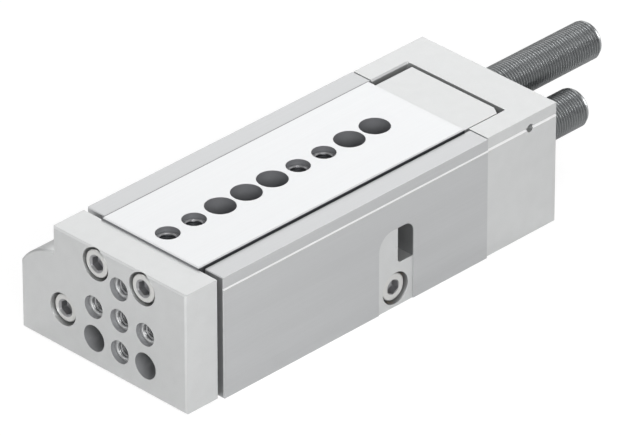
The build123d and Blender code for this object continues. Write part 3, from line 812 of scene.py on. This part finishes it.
def islands(node):
    """The corners of each separate solid of a node, in metres."""
    mesh = frame["nodes"][node].data
    spots, owner = {}, list(range(len(mesh.vertices)))

    def root(i):
        while owner[i] != i:
            owner[i] = owner[owner[i]]
            i = owner[i]
        return i

    for i, vertex in enumerate(mesh.vertices):
        spot = tuple(round(c * 1e6) for c in vertex.co)
        owner[i] = spots.setdefault(spot, i)
    for edge in mesh.edges:
        a, b = root(edge.vertices[0]), root(edge.vertices[1])
        owner[a] = b
    found = {}
    for i, vertex in enumerate(mesh.vertices):
        found.setdefault(root(i), []).append(vertex.co)
    boxes = []
    for members in found.values():
        low = Vector([min(p[k] for p in members) for k in range(3)])
        high = Vector([max(p[k] for p in members) for k in range(3)])
        boxes.append((low, high))
    return sorted(boxes, key=lambda pair: tuple(pair[0]))


# Steps round an absorber and round a turn of its thread, and the depth of that thread as
# a share of its pitch.
ABSORBER_STEPS = 96
ABSORBER_TURN_STEPS = 48
ABSORBER_THREAD_DEPTH = 0.58


class MINISLIDE_OT_absorbers(bpy.types.Operator):
    """Cuts the fine thread, the neck and the key into both shock absorbers"""

    bl_idname = "mini_slide.absorbers"
    bl_label = "Shock absorbers"

    def execute(self, context):
        pitch = settings().threads.absorber_pitch
        for node, body in (("advance_absorber", "carriage"), ("retract_absorber", "base")):
            low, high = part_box(node)
            middle = (low + high) / 2
            crest = (high.z - low.z) / 2 - 0.01 * MM
            root = crest - ABSORBER_THREAD_DEPTH * pitch
            length = high.x - low.x
            matrix = along((-1, 0, 0), Vector((high.x, middle.y, middle.z)))
            # The nose with its neck and bore in front, the key's socket behind.
            nose, neck, waist = 5.0 * MM, 1.5 * MM, 5.3 * MM
            bore, bore_end, bevel = 2.55 * MM, 21.0 * MM, 0.3 * MM
            face = length - 0.02 * MM
            key, key_end, key_point = 5.0 * MM, length - 4.0 * MM, length - 4.9 * MM
            rim, sunk_rim, sunk = 4.3 * MM, 4.15 * MM, 3.3 * MM
            rings = [
                (bore_end, circle(POINT)),
                (bore_end, circle(bore)),
                (bevel, circle(bore)),
                (0.0, circle(bore + bevel)),
                (0.0, circle(nose)),
                (bevel, circle(waist)),
                (neck, circle(waist)),
                (neck + bevel, circle(root)),
                (face - 0.6 * MM, circle(root)),
                (face - 0.25 * MM, circle(root)),
                (face, circle(root - 0.25 * MM)),
                (face, circle(rim)),
                (face - bevel, circle(sunk_rim)),
                (face - bevel, circle(sunk)),
                (face - bevel, hexagon(key)),
                (key_end, hexagon(key)),
                (key_point, circle(POINT)),
            ]
            skin = turned(rings, ABSORBER_STEPS, matrix)
            sunk_root, lead = root - 0.01 * MM, 0.9 * MM
            start, end = neck + 0.2 * MM, face - 0.2 * MM
            thread = helix(
                crest, sunk_root, pitch, start, end, ABSORBER_TURN_STEPS, matrix, lead
            )
            points, faces = merged([skin, thread])
            obj = place(node + "_threaded", points, faces, body)
            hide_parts(node)
            smooth(obj, 25.0)
            tidy(obj)
            dress(obj, "dark_plated_steel")
        return {"FINISHED"}


class MINISLIDE_OT_tapped_holes(bpy.types.Operator):
    """Bevels the mouths of the tapped holes and cuts the threads inside them"""

    bl_idname = "mini_slide.tapped_holes"
    bl_label = "Tapped holes"

    def execute(self, context):
        pitch = settings().threads.tapped_pitch
        drill, root, wall = 2.1 * MM, 2.47 * MM, 3.2 * MM
        # A narrow relief runs round the recess floor, and a bevel leads into the thread.
        floor, sunk, bevel_end = -0.2 * MM, 0.02 * MM, 0.15 * MM
        lip, mouth, back = 2.8 * MM, 2.45 * MM, 2.49 * MM
        seat = [(wall, sunk), (wall, floor), (lip, floor), (mouth, bevel_end)]
        seat += [(mouth, 2 * bevel_end), (back, 2 * bevel_end), (back, sunk)]
        steps, turn_steps = 48, 32
        # For each owner: its body, its slot, the finishes of seats and turns, the depth.
        bare, blasted = "tapped_bare_aluminium", "blasted_anodised_aluminium"
        # The slide bar's seats get the same painted shade as the sockets.
        hard, shaded_seats = "tapped_hardened_steel", "bare_forged_steel"
        groups = {
            "yoke": ("carriage", "machined_aluminium", blasted, bare, 10.0),
            "slide": ("carriage", "ground_steel", shaded_seats, hard, 6.7),
            "base": ("base", "anodised_aluminium", blasted, bare, 6.4),
        }
        skins = {name: {} for name in groups}
        for mount in frame["record"]["mounts"]:
            owner = mount["name"].split("_")[0]
            if not mount["name"].endswith("_threads"):
                continue
            axis = Vector(mount["axis"])
            for spot in spots_of(mount):
                matrix = along(-axis, Vector(spot))
                depth = groups[owner][-1] * MM
                thread = helix(drill, root, pitch, bevel_end, depth, turn_steps, matrix)
                key = tuple(round(value / MM, 2) for value in spot)
                skins[owner][key] = merged([revolved(seat, steps, matrix), thread])
        for owner, (body, slot, seats, turns, depth) in groups.items():
            points, faces = merged(skins[owner].values())
            obj = place(owner + "_tapped_holes", points, faces, body)
            smooth(obj, 35.0)
            tidy(obj)
            dress(obj, seats, turns)
            per_hole = len(faces) // len(skins[owner])
            for face in obj.data.polygons:
                face.material_index = int(face.index % per_hole >= steps * len(seat))
        return {"FINISHED"}


def spots_of(mount):
    """The centre of each hole of a pattern: four in a rectangle, or some in a row."""
    dims = mount["dims"]
    axis = [abs(round(v)) for v in mount["axis"]].index(1)
    across = [i for i in range(3) if i != axis]
    steps = [dims.get("spacing_x_mm"), dims.get("spacing_y_mm")]
    if None not in steps:
        places = [(a * steps[0], b * steps[1]) for a in (-0.5, 0.5) for b in (-0.5, 0.5)]
    else:
        shares = [n - (dims["count"] - 1) / 2 for n in range(dims["count"])]
        places = [(share * (steps[0] or 0), share * (steps[1] or 0)) for share in shares]
    found = []
    for a, b in places:
        spot = list(mount["pos_m"])
        spot[across[0]] += a * MM
        spot[across[1]] += b * MM
        found.append(spot)
    return found


class MINISLIDE_OT_guide(bpy.types.Operator):
    """Finishes the rails, cages, rollers and stop pins of the crossed roller guide"""

    bl_idname = "mini_slide.guide"
    bl_label = "Roller guide"

    def execute(self, context):
        wanted = {"cage_stop_pins": "polished_bearing_steel"}
        for side in ("left", "right"):
            wanted["guide_rail_" + side] = "polished_bearing_steel"
            wanted["rollers_" + side] = "polished_bearing_steel"
            wanted["roller_cage_" + side] = "turned_bronze"
        finish_nodes(wanted)
        return {"FINISHED"}


class MINISLIDE_OT_cylinder(bpy.types.Operator):
    """Finishes the rod, piston, bearing, seals and end cap of the cylinder"""

    bl_idname = "mini_slide.cylinder"
    bl_label = "Cylinder"

    def execute(self, context):
        wanted = {
            "piston_rod": "polished_bearing_steel",
            "piston": "blasted_anodised_aluminium",
            "piston_seals": "moulded_nitrile_rubber",
            "piston_magnet": "bonded_ferrite",
            "rod_bearing": "turned_bronze",
            "rod_wiper": "moulded_nitrile_rubber",
            "bearing_seal": "moulded_nitrile_rubber",
            "retaining_ring": "dark_plated_steel",
            "cylinder_end_cap": "blasted_anodised_aluminium",
            "end_cap_seal": "moulded_nitrile_rubber",
        }
        finish_nodes(wanted)
        return {"FINISHED"}


class MINISLIDE_OT_stops(bpy.types.Operator):
    """Finishes the stop lug, stop pad, plungers, clamp, dowels and lock nut"""

    bl_idname = "mini_slide.stops"
    bl_label = "Stops and clamp"

    def execute(self, context):
        wanted = {
            "retract_stop_lug": "ground_bright_steel",
            "advance_stop_pad": "polished_bearing_steel",
            "advance_plunger": "polished_bearing_steel",
            "retract_plunger": "polished_bearing_steel",
            "clamp_bush": "turned_bronze",
            "rear_block_dowels": "polished_bearing_steel",
            "absorber_lock_nut": "dark_plated_steel",
        }
        finish_nodes(wanted)
        return {"FINISHED"}


# Each lamp: its name, its place, the point that it faces and its size, in metres.
LAMPS = (
    ("sheen", (-0.9, -1.0, 0.75), (0, 0, 0.02), 0.8),
    ("side", (0.3, 0.55, 0.35), (0.03, 0, 0.02), 0.3),
    ("front", (0.5, 0.35, 0.35), (0.03, 0, 0.02), 0.3),
    ("left", (0.6, -0.7, 0.7), (0, 0, 0.02), 0.6),
    ("strip", (-0.69, -0.15, 0.81), (-0.08, 0, 0.03), 0.3),
    ("right", (-0.61, 0.5, 0.6), (0, 0, 0.02), 0.6),
)
FLOOR_HALF = 4.0
FLOOR_GAP = 0.02 * MM
FIBRES_PER_METRE = 900.0
WHITE = (1, 1, 1, 1)
# Where the camera stands, the way it looks and its own rightward side.
CAMERA_STAND = (1.37525, 1.37794, 1.20655)
CAMERA_LOOK = (-0.6056, -0.6031, -0.5192)
CAMERA_SIDE = (-0.7054, 0.7089, -0.0008)


def lamp(name, place_at, target, size, power):
    """A square soft lamp that faces a point."""
    data = bpy.data.lights.new(name, "AREA")
    data.shape = "SQUARE"
    data.size = size
    data.energy = power
    obj = bpy.data.objects.new(name, data)
    bpy.context.scene.collection.objects.link(obj)
    obj.location = place_at
    obj.rotation_euler = (Vector(target) - Vector(place_at)).to_track_quat("-Z", "Y").to_euler()


def set_floor(chosen):
    """The pale floor under the object."""
    half = FLOOR_HALF
    corners = [(-half, -half, 0), (half, -half, 0), (half, half, 0), (-half, half, 0)]
    mesh = bpy.data.meshes.new("floor")
    mesh.from_pydata(corners, [], [(0, 1, 2, 3)])
    floor = bpy.data.objects.new("floor", mesh)
    bpy.context.scene.collection.objects.link(floor)
    floor.location.z = cad_low.z - FLOOR_GAP
    # Matt painted board: white to the camera, with only the object's own shadow on it.
    material, tree = new_material("matt_white_board")
    here = add(tree, "ShaderNodeTexCoord").outputs["Object"]
    fibre = add(tree, "ShaderNodeTexNoise", {"Vector": here, "Scale": FIBRES_PER_METRE})
    colour = srgb(chosen.floor_colour)
    tone = tones(tree, fibre.outputs["Fac"], shade(colour, 0.995), colour)
    board = add(tree, "ShaderNodeBsdfDiffuse", {"Color": tone}).outputs["BSDF"]
    glow = add(tree, "ShaderNodeEmission", {"Color": WHITE, "Strength": 1.1})
    rays = add(tree, "ShaderNodeLightPath")
    seen = joined(tree, rays.outputs["Is Camera Ray"], chosen.glow)
    mix = patched(tree, seen, board, glow.outputs["Emission"])
    add(tree, "ShaderNodeOutputMaterial", {"Surface": mix})
    mesh.materials.append(material)


def set_room(chosen):
    """The room round the object: soft light for it, plain white behind it."""
    world = bpy.data.worlds.new("room")
    bpy.context.scene.world = world
    world.use_nodes = True
    tree = world.node_tree
    tree.nodes.clear()
    rays = add(tree, "ShaderNodeLightPath")
    room = add(tree, "ShaderNodeBackground", {"Color": WHITE, "Strength": chosen.sky})
    white = add(tree, "ShaderNodeBackground", {"Color": WHITE, "Strength": 1.0})
    backgrounds = [node.outputs["Background"] for node in (room, white)]
    mix = patched(tree, rays.outputs["Is Camera Ray"], *backgrounds)
    add(tree, "ShaderNodeOutputWorld", {"Surface": mix})


def set_camera(chosen):
    """The camera, far off with a long lens."""
    data = bpy.data.cameras.new("camera")
    data.lens = chosen.lens
    data.sensor_width = 36.0
    data.clip_start, data.clip_end = 0.05, 50.0
    camera = bpy.data.objects.new("camera", data)
    bpy.context.scene.collection.objects.link(camera)
    look, side = Vector(CAMERA_LOOK).normalized(), Vector(CAMERA_SIDE).normalized()
    rise = side.cross(look).normalized()
    camera.location = CAMERA_STAND
    camera.rotation_euler = Matrix((side, rise, -look)).transposed().to_euler()
    bpy.context.scene.camera = camera


class MINISLIDE_OT_stage(bpy.types.Operator):
    """Sets the floor, the room, the lamps and the camera"""

    bl_idname = "mini_slide.stage"
    bl_label = "Stage"

    def execute(self, context):
        chosen = settings().stage
        context.scene.view_settings.view_transform = "Standard"
        set_floor(chosen)
        set_room(chosen)
        for name, place_at, target, size in LAMPS:
            lamp(name + "_lamp", place_at, target, size, getattr(chosen, name + "_power"))
        set_camera(chosen)
        return {"FINISHED"}


class MiniSlideSettings(bpy.types.PropertyGroup):
    """All settings of the mini slide."""

    finish: PointerProperty(type=FinishSettings)
    screws: PointerProperty(type=ScrewSettings)
    threads: PointerProperty(type=ThreadSettings)
    stage: PointerProperty(type=StageSettings)


OPERATORS = (
    MINISLIDE_OT_bodies,
    MINISLIDE_OT_screws,
    MINISLIDE_OT_absorbers,
    MINISLIDE_OT_tapped_holes,
    MINISLIDE_OT_guide,
    MINISLIDE_OT_cylinder,
    MINISLIDE_OT_stops,
    MINISLIDE_OT_stage,
)


class MINISLIDE_PT_panel(bpy.types.Panel):
    """Lists the steps and their settings"""

    bl_label = "Mini Slide"
    bl_idname = "MINISLIDE_PT_panel"
    bl_space_type = "VIEW_3D"
    bl_region_type = "UI"
    bl_category = "Mini Slide"

    def draw(self, context):
        chosen = context.scene.mini_slide
        for group in (chosen.finish, chosen.screws, chosen.threads, chosen.stage):
            box = self.layout.box()
            for key in group.__annotations__:
                box.prop(group, key)
        for operator in OPERATORS:
            self.layout.operator(operator.bl_idname)


CLASSES = (
    FinishSettings,
    ScrewSettings,
    ThreadSettings,
    StageSettings,
    MiniSlideSettings,
    *OPERATORS,
    MINISLIDE_PT_panel,
)


def register():
    for cls in CLASSES:
        bpy.utils.register_class(cls)
    bpy.types.Scene.mini_slide = PointerProperty(type=MiniSlideSettings)


def unregister():
    del bpy.types.Scene.mini_slide
    for cls in reversed(CLASSES):
        bpy.utils.unregister_class(cls)


def main():
    register()
    for operator in OPERATORS:
        group, name = operator.bl_idname.split(".")
        getattr(getattr(bpy.ops, group), name)()


if __name__ == "__main__":
    main()
